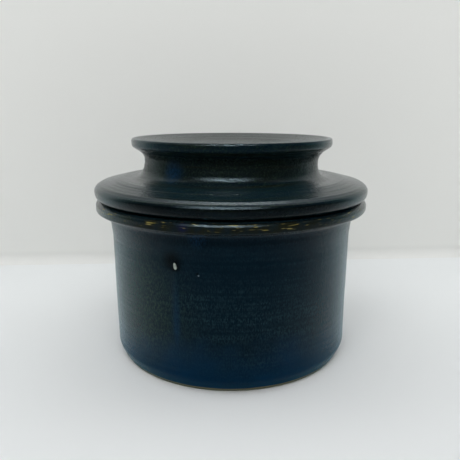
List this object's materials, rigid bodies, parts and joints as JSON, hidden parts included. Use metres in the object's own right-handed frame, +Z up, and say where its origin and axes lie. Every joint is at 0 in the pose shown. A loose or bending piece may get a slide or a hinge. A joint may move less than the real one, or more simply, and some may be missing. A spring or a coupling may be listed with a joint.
{
  "type": "lidded jar",
  "caption": "Round glazed stoneware jar with a straight wall and flanged rim, closed by a loose disc lid with a waisted neck and a wide dished knob.",
  "frame": {"origin": "centre of the foot ring, on the plane the jar stands on and on its turning axis", "axes": "+Z up along the turning axis; X and Y are alike"},
  "size_m": [0.1162, 0.1162, 0.0923],
  "materials": {
    "glaze": "satin blue-black glaze"
  },
  "bodies": {
    "root": {"pot": "glaze", "lid": "glaze"}
  },
  "joints": []
}
